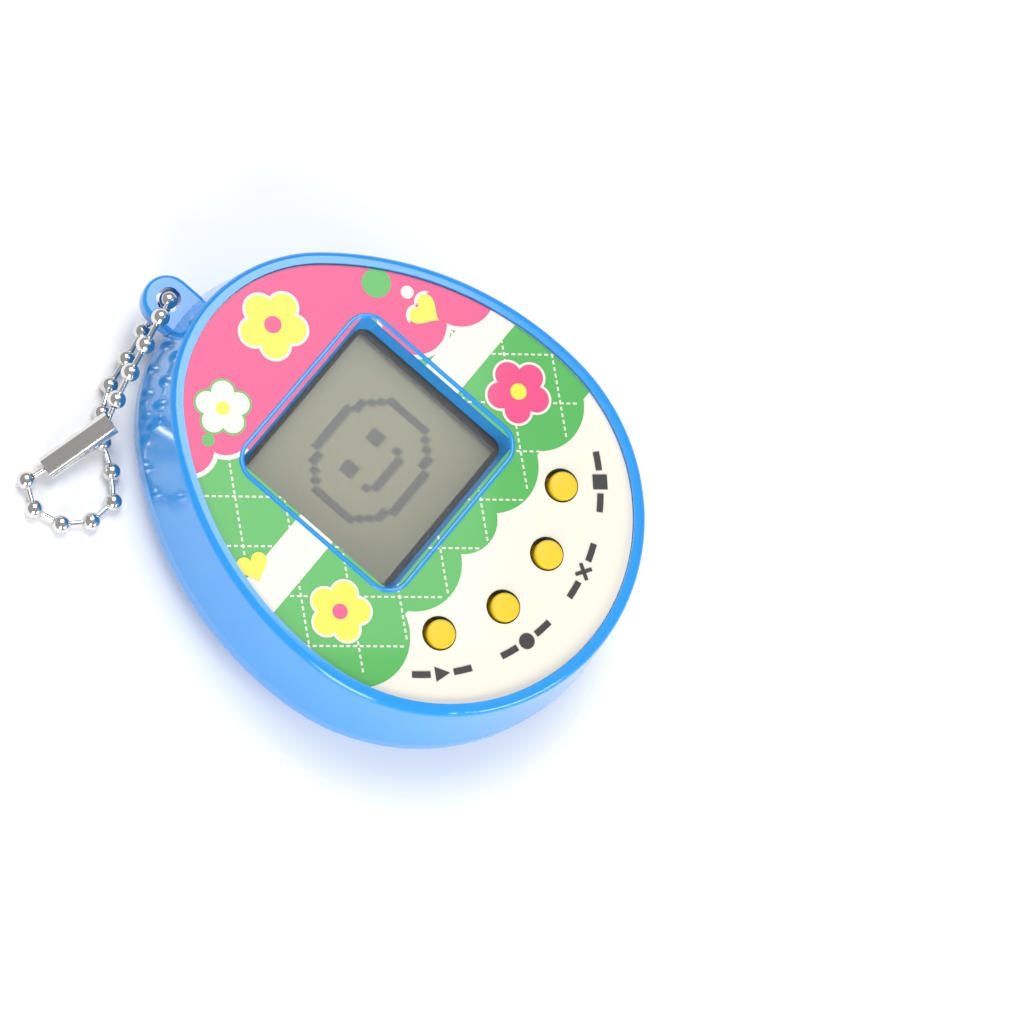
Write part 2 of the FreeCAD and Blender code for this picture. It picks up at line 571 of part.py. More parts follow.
def make_keypad():
    """Rubber keypad with four hollow domes, their carbon pills, and the four button caps."""
    inner = FreeCAD.Vector(val("inner_button_x"), val("inner_button_y"), 0)
    outer = FreeCAD.Vector(val("outer_button_x"), val("outer_button_y"), 0)
    mirrored = FreeCAD.Vector(-inner.x, inner.y, 0)
    circle = Part.Arc(mirrored, inner, outer).toShape().Curve
    half = val("dome_radius") + val("door_gap")
    reach = math.atan2(outer.x, circle.Center.y - outer.y)
    start, end = -math.pi / 2 - reach, -math.pi / 2 + reach
    axis = FreeCAD.Vector(0, 0, 1)
    ring = [Part.ArcOfCircle(Part.Circle(circle.Center, axis, circle.Radius + half * side), start, end)
            for side in (1, -1)]
    caps = []
    for side, turn in ((1, 0), (-1, math.pi)):
        centre = FreeCAD.Vector(outer.x * side, outer.y, 0)
        angle = -math.pi / 2 + reach * side + turn
        caps.append(Part.ArcOfCircle(Part.Circle(centre, axis, half), angle, angle + math.pi))
    edges = [shape.toShape() for shape in (ring[0], caps[0], ring[1], caps[1])]
    wire = Part.Wire(Part.__sortEdges__(edges))
    web = Part.Face(wire).extrude(FreeCAD.Vector(0, 0, val("keypad_thickness")))
    strip = doc.addObject("Part::Feature", "keypad_web")
    strip.Shape = web
    place(strip, z="board_top")
    solids, hollows = [strip], []
    low = "board_top + keypad_thickness - pad_gap"
    for name, x, y in BUTTONS:
        solids.append(cone("dome_" + name, "dome_radius", "dome_top_radius", DOME_TOP + " - (" + low + ")",
                           x, y, low))
        hollows.append(cone("dome_inside_" + name, "dome_radius - dome_wall", "dome_top_radius - dome_wall",
                            DOME_TOP + " - dome_wall - board_top", x, y, "board_top"))
    pad_solid = cut("keypad_moulding", join("keypad_solids", solids), join("keypad_hollows", hollows))
    keep(pad_solid, "keypad_sheet")
    for name, x, y in BUTTONS:
        pill_level = DOME_TOP + " - dome_wall - pill_thickness"
        pill = cylinder("pill_" + name, "pill_radius", "pill_thickness", x, y, pill_level)
        keep(pill, "carbon_pill_" + name)
        button = new_body("button_" + name)
        cap = sketch_at(button, "cap_outline_" + name, DOME_TOP)
        add_circle(cap, "button_radius", x, y + " + button_shift")
        pad(button, cap, RIM_LEVEL + " - rim_height + button_proud - (" + DOME_TOP + ")", "cap_" + name)
        top = number_of("label_level + button_proud")
        round_edges(button, lambda edge: at_level(edge, top, 0), "button_round", "cap_round_" + name)
        flange = sketch_at(button, "flange_outline_" + name, DOME_TOP)
        add_circle(flange, "flange_radius", x, y + " + button_shift")
        pad(button, flange, FLANGE_TOP + " - (" + DOME_TOP + ")", "flange_" + name)


def screw(name, x, y, shank_radius, length, head_radius, head_height, level):
    """A pan-head screw that points up: the head's top face is at a level, where the shank starts."""
    head = cylinder(name + "_head", head_radius, head_height, x, y, "%s - (%s)" % (level, head_height))
    shank = cylinder(name + "_shank", shank_radius, length, x, y, level)
    solid = join(name + "_solid", [head, shank])
    slot = [block(name + "_slot_" + way, long, wide, "0.5", x, y, "%s - (%s)" % (level, head_height))
            for way, long, wide in (("x", head_radius + " * 1.2", "0.45"), ("y", "0.45", head_radius + " * 1.2"))]
    return cut(name, solid, join(name + "_cross", slot))


def make_screws():
    """Four case screws from the back, and three small ones that hold the board."""
    case = [screw("case_screw_%d" % n, x, y, "case_screw_radius", "screw_length", "screw_head_radius",
                  "screw_head_height", "counterbore_level") for n, (x, y) in enumerate(CASE_BOSSES)]
    keep(group("case_screw_set", case), "case_screws")
    board = [screw("board_screw_%d" % n, x, y, "board_screw_radius", "board_screw_length",
                   "board_screw_radius * 1.9", "0.8", BOARD_LEVEL) for n, (x, y) in enumerate(BOARD_BOSSES)]
    keep(group("board_screw_set", board), "board_screws")


def make_sounder():
    """Piezo disc over the sound holes, with its two wires up to the board."""
    disc = cylinder("sounder_disc", "sounder_radius", "brass_thickness", "0", "sounder_y", "back_floor")
    keep(disc, "sounder_plate")
    top = "back_floor + brass_thickness"
    ceramic = cylinder("sounder_crystal", "ceramic_radius", "ceramic_thickness", "0", "sounder_y", top)
    keep(ceramic, "sounder_ceramic")
    wires = [cylinder("wire_plate", "wire_radius", BOARD_LEVEL + " - (" + top + ")", "sounder_radius - 1",
                      "sounder_y", top),
             cylinder("wire_ceramic", "wire_radius", BOARD_LEVEL + " - (" + top + " + ceramic_thickness)",
                      "ceramic_radius - 1", "sounder_y", top + " + ceramic_thickness")]
    keep(group("sounder_wire_pair", wires), "sounder_wires")


def make_power():
    """Two button cells, a contact above each, a bridge on the door, the door and its screw."""
    for side, x in (("left", "-(" + CELL_X + ")"), ("right", CELL_X)):
        can = cylinder("cell_can_" + side, "cell_radius", "cell_height * 0.86", x, "cell_y", CELL_LEVEL)
        button = cylinder("cell_button_" + side, "cell_radius * 0.86", "cell_height", x, "cell_y", CELL_LEVEL)
        keep(join("cell_" + side, [can, button]), "button_cell_" + side)
        leaf = block("leaf_" + side, "cell_radius", "contact_width", "contact_thickness", x, "cell_y",
                     BAY_ROOF + " - contact_thickness")
        tab = cylinder("tab_" + side, "contact_width / 8", BOARD_LEVEL + " - (" + BAY_ROOF + ")", x, "cell_y",
                       BAY_ROOF)
        keep(join("contact_" + side, [leaf, tab]), "cell_contact_" + side)
    bridge = block("bridge_strip", "(" + CELL_X + ") * 2 + contact_width", "contact_width", "contact_thickness", "0",
                   "cell_y", "door_recess + door_thickness")
    keep(bridge, "cell_bridge")
    plate = doc.addObject("PartDesign::Body", "door_body")
    keep(plate, "battery_door")
    outline = sketch_at(plate, "door_outline", "door_recess")
    add_rounded_rectangle(outline, DOOR_HALF_X, DOOR_HALF_Y, "door_corner", "0", "cell_y")
    pad(plate, outline, "door_thickness", "door_plate")
    ear = sketch_at(plate, "ear_outline", "door_recess")
    add_circle(ear, "door_ear / 2", "0", DOOR_SCREW_Y)
    pad(plate, ear, "door_thickness", "door_ear_pad")
    hole = sketch_at(plate, "ear_hole_outline", "door_recess")
    add_circle(hole, "board_screw_radius + door_gap", "0", DOOR_SCREW_Y)
    pocket(plate, hole, "door_thickness", "ear_hole", upwards=True)
    sink = sketch_at(plate, "ear_sink_outline", "door_recess")
    add_circle(sink, "door_screw_head + pad_gap", "0", DOOR_SCREW_Y)
    pocket(plate, sink, "door_thickness * 0.7", "ear_sink", upwards=True)
    fixing = screw("door_fixing", "0", DOOR_SCREW_Y, "board_screw_radius", "door_screw_length", "door_screw_head",
                   "door_thickness * 0.6", "door_recess + door_thickness * 0.7")
    keep(fixing, "door_screw")


# Ball centres, upper run first: from the lug hole over its top edge and down to the connector's mouth,
# then the lower run back to the hole. Each place counts from the middle of the lug along the egg.
CHAIN_UPPER = [(0.0, 0.0, 8.0), (-2.7, -0.55, 9.85), (-5.7, -1.25, 8.7), (-8.6, -1.95, 7.2),
               (-11.3, -2.75, 5.5), (-13.9, -3.7, 3.8)]
CHAIN_LOWER = [(0.0, 0.0, 4.7), (-2.9, -0.15, 3.1), (-5.9, -0.75, 1.75), (-9.1, -1.25, 1.0),
               (-12.0, -2.55, 1.0)]
CHAIN_TAIL = [(-20.0, -2.15, 1.65), (-23.1, -1.15, 1.0), (-24.9, -3.75, 1.0), (-24.2, -6.95, 1.0),
              (-21.8, -9.15, 1.0), (-18.6, -9.55, 1.0), (-16.2, -7.35, 1.0), (-14.4, -4.65, 1.0)]


def chain_place(centre):
    """A ball's centre: its place from the lug, moved to where the lug is."""
    x, y, z = centre
    return FreeCAD.Vector(x, y + number_of(LUG_CENTRE), z)


def ball_string(label, centres):
    """Hollow balls and the wire links between them: two entries, each a group of separate solids."""
    ball, wire = val("ball_radius"), val("link_radius")
    points = [chain_place(centre) for centre in centres]
    balls = [Part.makeSphere(ball, point) for point in points]
    links = []
    gap = math.sqrt(ball ** 2 - wire ** 2)
    for one, other in zip(points, points[1:]):
        run = other - one
        length = run.Length - 2 * gap
        links.append(Part.makeCylinder(wire, length, one + run.normalize() * gap, other - one))
    for name, shapes in (("_balls", balls), ("_links", links)):
        feature = doc.addObject("Part::Feature", label + name + "_group")
        feature.Shape = Part.Compound(shapes)
        keep(feature, label + name)


def make_chain():
    """Ball chain: two runs from the lug, a connector that closes the loop, and the loose end of the loop."""
    ball_string("chain_lug", CHAIN_LOWER[::-1] + CHAIN_UPPER)
    ball_string("chain_tail", CHAIN_TAIL)
    mouth = chain_place(CHAIN_UPPER[-1])
    end = chain_place(CHAIN_TAIL[0])
    run = (end - mouth).normalize()
    reach = val("ball_radius") * 0.9
    outer, wall = val("connector_radius"), val("connector_wall")
    start = mouth - run * reach
    length = (end - mouth).Length + 2 * reach
    tube = Part.makeCylinder(outer, length, start, run).cut(Part.makeCylinder(outer - wall, length, start, run))
    across = run.cross(FreeCAD.Vector(0, 0, 1)).normalize()
    window = Part.makeCylinder(val("ball_radius") * 0.7, outer * 2, mouth + (end - mouth) * 0.32, across)
    other = Part.makeCylinder(val("ball_radius") * 0.7, outer * 2, mouth + (end - mouth) * 0.68, across)
    feature = doc.addObject("Part::Feature", "connector_tube")
    feature.Shape = tube.cut(window).cut(other)
    keep(feature, "chain_connector")


make_front_shell()
make_back_shell()
make_label()
make_display()
make_board()
make_keypad()
make_screws()
make_sounder()
make_power()
make_chain()
doc.recompute()
doc.removeObject(scratch.Name)
for feature in doc.Objects:
    if {"Invalid", "Error"} & set(feature.State):
        raise RuntimeError(feature.Label + " failed to build")
os.makedirs("parts", exist_ok=True)
for feature in NODES:
    shape = feature.Shape
    if shape.isNull() or not shape.isValid() or shape.Volume <= 0:
        raise RuntimeError(feature.Label + " has no valid shape")
    shape.exportStep("parts/%s.step" % feature.Label)
    print("%-24s %3d solid(s) %9.2f mm3" % (feature.Label, len(shape.Solids), shape.Volume))
print(len(NODES), "nodes")
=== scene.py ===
import math
import bpy
import numpy as np
from mathutils import Matrix, Vector


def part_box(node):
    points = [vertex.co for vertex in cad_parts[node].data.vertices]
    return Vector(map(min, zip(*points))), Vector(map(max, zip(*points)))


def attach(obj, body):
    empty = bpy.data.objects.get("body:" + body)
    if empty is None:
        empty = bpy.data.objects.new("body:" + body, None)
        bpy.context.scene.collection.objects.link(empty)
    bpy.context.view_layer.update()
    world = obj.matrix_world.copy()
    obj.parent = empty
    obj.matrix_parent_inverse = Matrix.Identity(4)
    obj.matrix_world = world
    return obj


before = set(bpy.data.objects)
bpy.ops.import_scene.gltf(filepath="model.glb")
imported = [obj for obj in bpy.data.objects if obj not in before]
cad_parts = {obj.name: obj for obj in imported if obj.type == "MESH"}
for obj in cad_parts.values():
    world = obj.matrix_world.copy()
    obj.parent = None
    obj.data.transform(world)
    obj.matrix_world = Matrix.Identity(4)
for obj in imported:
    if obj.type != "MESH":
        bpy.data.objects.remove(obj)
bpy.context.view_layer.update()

MM = 0.001

# Camera: a long lens that looks down on the face from the left, turned so that the lug is at the upper left.
EYE = Vector((-229.8, 35.1, 653.3)) * MM
AIM = Vector((4.77, -11.18, 15.0)) * MM
UP = Vector((0.7233, 0.6551, 0.2184))
camera_data = bpy.data.cameras.new("camera")
camera_data.sensor_width = 36
camera_data.lens = 228.7
camera_data.clip_start = 0.01
camera = bpy.data.objects.new("camera", camera_data)
bpy.context.scene.collection.objects.link(camera)
ahead = (AIM - EYE).normalized()
side = ahead.cross(UP).normalized()
turn = Matrix((side, side.cross(ahead), -ahead)).transposed()
camera.matrix_world = Matrix.Translation(EYE) @ turn.to_4x4()
bpy.context.scene.camera = camera
bpy.context.scene.view_settings.view_transform = "Standard"


# Studio: pale floor, one large softbox overhead and two at the sides, whose shapes show in the gloss.
def plain_material(name, colour, roughness):
    """A principled surface with one colour."""
    made = bpy.data.materials.new(name)
    made.use_nodes = True
    shader = made.node_tree.nodes["Principled BSDF"]
    shader.inputs["Base Color"].default_value = (*colour, 1)
    shader.inputs["Roughness"].default_value = roughness
    return made


def area_light(name, spot, target, size, power):
    """A square softbox of a given size at a spot, aimed at a target."""
    data = bpy.data.lights.new(name, "AREA")
    data.shape = "RECTANGLE"
    data.size, data.size_y = size
    data.energy = power
    lamp = bpy.data.objects.new(name, data)
    bpy.context.scene.collection.objects.link(lamp)
    lamp.location = spot
    lamp.rotation_euler = (Vector(target) - Vector(spot)).to_track_quat("-Z", "Y").to_euler()


FLOOR_HALF = 1.5
floor_mesh = bpy.data.meshes.new("floor")
floor_mesh.from_pydata([(x * FLOOR_HALF, y * FLOOR_HALF, 0) for x, y in ((-1, -1), (1, -1), (1, 1), (-1, 1))],
                       [], [(0, 1, 2, 3)])
floor = bpy.data.objects.new("floor", floor_mesh)
floor_mesh.materials.append(plain_material("pale_floor", (0.93, 0.93, 0.93), 0.6))
bpy.context.scene.collection.objects.link(floor)
world = bpy.data.worlds.new("studio_air")
bpy.context.scene.world = world
world.use_nodes = True
world.node_tree.nodes["Background"].inputs["Color"].default_value = (1, 1, 1, 1)
world.node_tree.nodes["Background"].inputs["Strength"].default_value = 0.42
area_light("softbox_over", (0.25, 0.25, 0.7), (0, 0, 0), (0.5, 0.5), 4.6)
area_light("softbox_left", (-0.55, -0.2, 0.28), (0, 0, 0.01), (0.22, 0.4), 2.4)
area_light("softbox_low", (-0.1, -0.6, 0.3), (0, 0, 0.01), (0.35, 0.2), 1.8)


# Moulded plastic and metal finishes. The grain group gives every finish its slight unevenness.
def make_grain_group():
    """Two noises: a broad one shifts the colour and roughness, and a fine one tilts the normal."""
    group = bpy.data.node_groups.new("moulding_grain", "ShaderNodeTree")
    for name, kind, value in (("Colour", "NodeSocketColor", (0.5, 0.5, 0.5, 1)),
                              ("Scale", "NodeSocketFloat", 400.0),
                              ("Amount", "NodeSocketFloat", 0.05), ("Roughness", "NodeSocketFloat", 0.3),
                              ("Bump", "NodeSocketFloat", 0.05)):
        group.interface.new_socket(name, in_out="INPUT", socket_type=kind).default_value = value
    group.interface.new_socket("Colour", in_out="OUTPUT", socket_type="NodeSocketColor")
    group.interface.new_socket("Roughness", in_out="OUTPUT", socket_type="NodeSocketFloat")
    group.interface.new_socket("Normal", in_out="OUTPUT", socket_type="NodeSocketVector")
    nodes, links = group.nodes, group.links
    put, out = nodes.new("NodeGroupInput"), nodes.new("NodeGroupOutput")
    place = nodes.new("ShaderNodeTexCoord")
    broad, fine = nodes.new("ShaderNodeTexNoise"), nodes.new("ShaderNodeTexNoise")
    broad.inputs["Scale"].default_value = 90
    links.new(place.outputs["Object"], broad.inputs["Vector"])
    links.new(place.outputs["Object"], fine.inputs["Vector"])
    links.new(put.outputs["Scale"], fine.inputs["Scale"])
    swing = nodes.new("ShaderNodeMapRange")
    swing.inputs["To Min"].default_value, swing.inputs["To Max"].default_value = -1, 1
    links.new(broad.outputs["Fac"], swing.inputs["Value"])
    scaled = nodes.new("ShaderNodeMath")
    scaled.operation = "MULTIPLY"
    links.new(swing.outputs["Result"], scaled.inputs[0])
    links.new(put.outputs["Amount"], scaled.inputs[1])
    bright = nodes.new("ShaderNodeMath")
    bright.operation = "ADD"
    bright.inputs[1].default_value = 1
    links.new(scaled.outputs[0], bright.inputs[0])
    tint = nodes.new("ShaderNodeHueSaturation")
    links.new(put.outputs["Colour"], tint.inputs["Color"])
    links.new(bright.outputs[0], tint.inputs["Value"])
    links.new(tint.outputs["Color"], out.inputs["Colour"])
    rough = nodes.new("ShaderNodeMath")
    rough.operation = "MULTIPLY_ADD"
    links.new(scaled.outputs[0], rough.inputs[0])
    links.new(put.outputs["Roughness"], rough.inputs[1])
    links.new(put.outputs["Roughness"], rough.inputs[2])
    links.new(rough.outputs[0], out.inputs["Roughness"])
    bump = nodes.new("ShaderNodeBump")
    bump.inputs["Distance"].default_value = 0.00005
    links.new(put.outputs["Bump"], bump.inputs["Strength"])
    links.new(fine.outputs["Fac"], bump.inputs["Height"])
    links.new(bump.outputs["Normal"], out.inputs["Normal"])
    return group


GRAIN = make_grain_group()


def finish_material(name, colour, roughness, metallic=0.0, coat=0.0, scale=400.0, amount=0.05, bump=0.05,
                    alpha=1.0, subsurface=0.0):
    """A principled finish whose colour, roughness and normal pass through the grain group."""
    made = bpy.data.materials.new(name)
    made.use_nodes = True
    shader = made.node_tree.nodes["Principled BSDF"]
    grain = made.node_tree.nodes.new("ShaderNodeGroup")
    grain.node_tree = GRAIN
    for socket, value in (("Colour", (*colour, 1)), ("Scale", scale), ("Amount", amount),
                          ("Roughness", roughness), ("Bump", bump)):
        grain.inputs[socket].default_value = value
    links = made.node_tree.links
    links.new(grain.outputs["Colour"], shader.inputs["Base Color"])
    links.new(grain.outputs["Roughness"], shader.inputs["Roughness"])
    links.new(grain.outputs["Normal"], shader.inputs["Normal"])
    shader.inputs["Metallic"].default_value = metallic
    shader.inputs["Coat Weight"].default_value = coat
    shader.inputs["Coat Roughness"].default_value = 0.04
    shader.inputs["Alpha"].default_value = alpha
    if subsurface:
        shader.inputs["Subsurface Weight"].default_value = subsurface
        shader.inputs["Subsurface Scale"].default_value = 0.002
        shader.inputs["Subsurface Radius"].default_value = (0.2, 0.5, 1.0)
    return made


def make_soft_shading():
    """Geometry nodes: joins the loose triangles and smooths every edge that turns by less than 28 degrees."""
    group = bpy.data.node_groups.new("soft_shading", "GeometryNodeTree")
    group.interface.new_socket("Geometry", in_out="INPUT", socket_type="NodeSocketGeometry")
    group.interface.new_socket("Geometry", in_out="OUTPUT", socket_type="NodeSocketGeometry")
    nodes, links = group.nodes, group.links
    put, out = nodes.new("NodeGroupInput"), nodes.new("NodeGroupOutput")
    merge = nodes.new("GeometryNodeMergeByDistance")
    merge.inputs["Distance"].default_value = 1e-6
    faces, edges = nodes.new("GeometryNodeSetShadeSmooth"), nodes.new("GeometryNodeSetShadeSmooth")
    edges.domain = "EDGE"
    angle = nodes.new("GeometryNodeInputMeshEdgeAngle")
    small = nodes.new("FunctionNodeCompare")
    small.operation = "LESS_THAN"
    small.inputs["B"].default_value = math.radians(28)
    links.new(put.outputs[0], merge.inputs["Geometry"])
    links.new(merge.outputs["Geometry"], faces.inputs["Geometry"])
    links.new(faces.outputs["Geometry"], edges.inputs["Geometry"])
    links.new(angle.outputs["Unsigned Angle"], small.inputs["A"])
    links.new(small.outputs["Result"], edges.inputs["Shade Smooth"])
    links.new(edges.outputs["Geometry"], out.inputs[0])
    return group


SOFT = make_soft_shading()


def dress(nodes, material):
    """Gives CAD nodes a finish and soft shading on their rounded edges."""
    for name in nodes:
        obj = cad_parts[name]
        for slot in obj.material_slots:
            slot.material = material
        if not obj.material_slots:
            obj.data.materials.append(material)
        modifier = obj.modifiers.new("soft_shading", "NODES")
        modifier.node_group = SOFT
        weighted = obj.modifiers.new("even_normals", "WEIGHTED_NORMAL")
        weighted.keep_sharp = True


# Case: two injection-moulded halves in glossy, slightly translucent blue plastic, held by four screws.
dress(["front_shell", "back_shell", "battery_door"],
      finish_material("blue_gloss", (0.016, 0.27, 0.72), 0.13, coat=0.2, scale=220, amount=0.04, bump=0.02,
                      subsurface=0.12))



# Window surround: the front half's face turns over a soft lip round the window and slopes down to
# the display.
def rounded_frame(half_x, half_y, corner, steps=14):
    """Points of a rounded rectangle, and outward normals: corner centre + corner radius times normal."""
    turn = (np.arange(4)[:, None] * 90 + np.linspace(0, 90, steps)[None, :]).ravel()
    normal = np.c_[np.cos(np.radians(turn)), np.sin(np.radians(turn))]
    signs = np.repeat([(1, 1), (-1, 1), (-1, -1), (1, -1)], steps, axis=0)
    return signs * (half_x - corner, half_y - corner) + corner * normal, normal


def swept(path, normal, profile, middle=(0.0, 0.0)):
    """A profile of (distance, height) carried round a closed path: point = path + distance times normal."""
    flat = path[:, None, :] + normal[:, None, :] * profile[None, :, :1] + middle
    height = np.broadcast_to(profile[None, :, 1:], (len(path), len(profile), 1))
    grid = np.arange(len(path) * len(profile)).reshape(len(path), len(profile))
    here, along = grid, np.roll(grid, -1, axis=0)
    faces = np.stack([here, along, np.roll(along, -1, axis=1), np.roll(here, -1, axis=1)], axis=-1)
    return np.concatenate([flat, height], axis=2).reshape(-1, 3) * MM, faces.reshape(-1, 4)


WINDOW_HALF_X, WINDOW_HALF_Y, WINDOW_CORNER, WINDOW_MIDDLE = 10.35, 10.0, 1.55, 3.6
LIP_REACH, LIP_RADIUS, LIP_LEVEL = 0.99, 0.30, 14.88
SLOPE = [(1.3, 14.95), (1.3, 14.86), (-0.02, 12.97), (-0.02, 13.2)]
path, normal = rounded_frame(WINDOW_HALF_X, WINDOW_HALF_Y, WINDOW_CORNER)
arch = np.radians(np.linspace(170, 20, 9))
lip = np.c_[LIP_REACH + LIP_RADIUS * np.cos(arch), LIP_LEVEL + LIP_RADIUS * np.sin(arch)]
profile = np.concatenate([SLOPE, lip])
points, quads = swept(path, normal, profile[::-1], (0.0, WINDOW_MIDDLE))
# Inside and underside: plated screws, the board and what is soldered to it.
dress(["case_screws", "board_screws", "door_screw", "clock_crystal", "cell_contact_left",
       "cell_contact_right", "cell_bridge"],
      finish_material("zinc_plate", (0.62, 0.61, 0.58), 0.3, metallic=1, scale=900, bump=0.1))
dress(["button_cell_left", "button_cell_right"],
      finish_material("cell_can", (0.7, 0.7, 0.68), 0.22, metallic=1, scale=700, bump=0.08))
dress(["circuit_board"], finish_material("board_lacquer", (0.30, 0.16, 0.05), 0.35, coat=0.3, scale=600,
                                         bump=0.1))
dress(["chip_blob", "board_resistors"], finish_material("black_epoxy", (0.012, 0.012, 0.013), 0.3, scale=500))
dress(["sounder_plate"], finish_material("rolled_brass", (0.72, 0.5, 0.2), 0.3, metallic=1, scale=900,
                                         bump=0.1))
dress(["sounder_ceramic"], finish_material("silvered_ceramic", (0.7, 0.68, 0.62), 0.45, scale=900))
dress(["sounder_wires"], finish_material("wire_sheath", (0.5, 0.02, 0.015), 0.45))
dress(["zebra_strip"], finish_material("zebra_rubber", (0.4, 0.34, 0.34), 0.6))
dress(["display_tape"], finish_material("foam_tape", (0.8, 0.8, 0.76), 0.8, bump=0.3))

# Keys: rubber keypad, carbon pills and four satin yellow caps.
dress(["keypad_sheet"], finish_material("keypad_rubber", (0.62, 0.40, 0.01), 0.55, scale=500, bump=0.1))
dress(["carbon_pill_" + key for key in ("select", "decide", "cancel", "reset")],
      finish_material("carbon_rubber", (0.02, 0.02, 0.02), 0.7, bump=0.2))
dress(["button_" + key for key in ("select", "decide", "cancel", "reset")],
      finish_material("yellow_cap", (0.80, 0.50, 0.004), 0.36, scale=500, amount=0.06, bump=0.12,
                      subsurface=0.15))

# Ball chain: nickel-plated steel balls on wire, and a folded connector.
dress(["chain_lug_balls", "chain_lug_links", "chain_tail_balls", "chain_tail_links", "chain_connector"],
      finish_material("nickel_plate", (0.72, 0.71, 0.68), 0.12, metallic=1, scale=1500, amount=0.08,
                      bump=0.06))

# Display: clear window, a foam frame coloured black as painted shade for the shaded inner wall of the window,
# and the olive panel with its dark segments.
dress(["window_lens"], finish_material("clear_window", (0.9, 0.95, 0.9), 0.05, alpha=0.07, amount=0.0,
                                       bump=0.0))
# Painted shade: the frame's black stands in for the deep shade on the window's inner wall.
dress(["display_gasket"], finish_material("black_foam", (0.006, 0.006, 0.007), 0.7, scale=1200, bump=0.3))
dress(["front_polariser"], finish_material("display_olive", (0.165, 0.158, 0.082), 0.42, scale=1400,
                                           amount=0.06,
                                           bump=0.05))
dress(["front_glass", "rear_glass"], finish_material("display_glass", (0.5, 0.6, 0.5), 0.08, alpha=0.5))
dress(["display_reflector"], finish_material("reflector_film", (0.3, 0.3, 0.22), 0.3, metallic=0.6))


def add_piece(name, vertices, faces, material, body="case", smooth=False):
    """Makes a mesh piece from arrays in metres and lets it ride on a body."""
    mesh = bpy.data.meshes.new(name)
    mesh.from_pydata(vertices.tolist(), [], [list(map(int, face)) for face in faces])
    mesh.materials.append(material)
    if smooth:
        mesh.polygons.foreach_set("use_smooth", [True] * len(mesh.polygons))
    mesh.update()
    obj = bpy.data.objects.new(name, mesh)
    bpy.context.scene.collection.objects.link(obj)
    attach(obj, body)
    return obj


add_piece("window_surround", points, quads, bpy.data.materials["blue_gloss"], smooth=True)

# Display picture: small square cells in the liquid crystal that form a winged flower bug of plain blocks,
# each cell four dots, over its own soft shadow on the reflector.
PICTURE = (
    "......########......",
    "....##........##....",
    "...#............#...",
    "..#..............#..",
    ".#................#.",
    ".#....##....##....#.",
    ".#....##....##....#.",
    ".#................#.",
    ".#................#.",
    ".#....#......#....#.",
    ".#.....######.....#.",
    "..#..............#..",
    "...#............#...",
    "....##........##....",
    "......########......",
)
CELL = 0.76
DOT = 0.335
film_low, film_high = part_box("front_polariser")
picture_level = film_high[2] + 0.00001


def picture_squares(size, shift, level):
    """Squares at the four dots of every dark cell: cell centre + dot offset + half size per corner."""
    rows = np.array([[mark == "#" for mark in row] for row in PICTURE])
    down, across = np.nonzero(rows)
    centre = np.c_[across - (rows.shape[1] - 1) / 2, (rows.shape[0] - 1) / 2 - down] * CELL
    dots = np.array([(-1, -1), (1, -1), (1, 1), (-1, 1)]) * CELL / 4
    spots = (centre[:, None, :] + dots[None, :, :]).reshape(-1, 2) + shift
    corners = (spots[:, None, :] + dots[None, :, :] / (CELL / 4) * size / 2).reshape(-1, 2) * MM
    middle = (np.array(film_low[:2]) + np.array(film_high[:2])) / 2
    flat = np.c_[corners + middle, np.full(len(corners), level)]
    return flat, np.arange(len(flat)).reshape(-1, 4)


for name, size, shift, level, colour, alpha in (
        ("display_shadow_wide", 0.52, (0.20, -0.30), 0, (0.05, 0.05, 0.028), 0.16),
        ("display_shadow", 0.38, (0.14, -0.22), 1, (0.05, 0.05, 0.028), 0.28),
        ("display_dots", DOT, (0.0, 0.0), 2, (0.018, 0.022, 0.018), 0.93)):
    points, squares = picture_squares(size, np.array(shift), picture_level + level * 0.00001)
    add_piece(name, points, squares, finish_material(name, colour, 0.5, alpha=alpha, amount=0.02))


# Printed face: ink areas on a cream film, each a thin flat layer with its own outline.
# The label's egg is four arcs that meet in tangents, as on the case.
HALF, LOW_RADIUS, HIGH_RADIUS, FLANK_RADIUS = 26.0, 21.2, 15.7, 36.1
LABEL_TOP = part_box("face_label")[1][2]
WINDOW_X, WINDOW_Y = 10.75, 10.4
INK_STEP = 0.00001


def egg_outline(shrink=0.0, count=240):
    """Points where rays from the middle of each arc meet the arc: centre + radius times the unit circle."""
    low, high = LOW_RADIUS - HALF, HALF - HIGH_RADIUS
    reach_low, reach_high, gap = FLANK_RADIUS - LOW_RADIUS, FLANK_RADIUS - HIGH_RADIUS, high - low
    along = (reach_low ** 2 - reach_high ** 2 + gap ** 2) / (2 * gap)
    across = math.sqrt(reach_low ** 2 - along ** 2)
    middle = low + along
    lean_low, lean_high = math.atan2(low - middle, across), math.atan2(high - middle, across)
    arcs = ((-across, middle, FLANK_RADIUS, lean_low, lean_high),
            (0, high, HIGH_RADIUS, lean_high, math.pi - lean_high),
            (across, middle, FLANK_RADIUS, math.pi - lean_high, math.pi - lean_low),
            (0, low, LOW_RADIUS, math.pi - lean_low, 2 * math.pi + lean_low))
    parts = []
    for x, y, radius, start, end in arcs:
        turn = np.linspace(start, end, count // 4, endpoint=False)
        parts.append(np.c_[x + (radius - shrink) * np.cos(turn), y + (radius - shrink) * np.sin(turn)])
    return np.concatenate(parts)


EDGE = egg_outline(0.06)


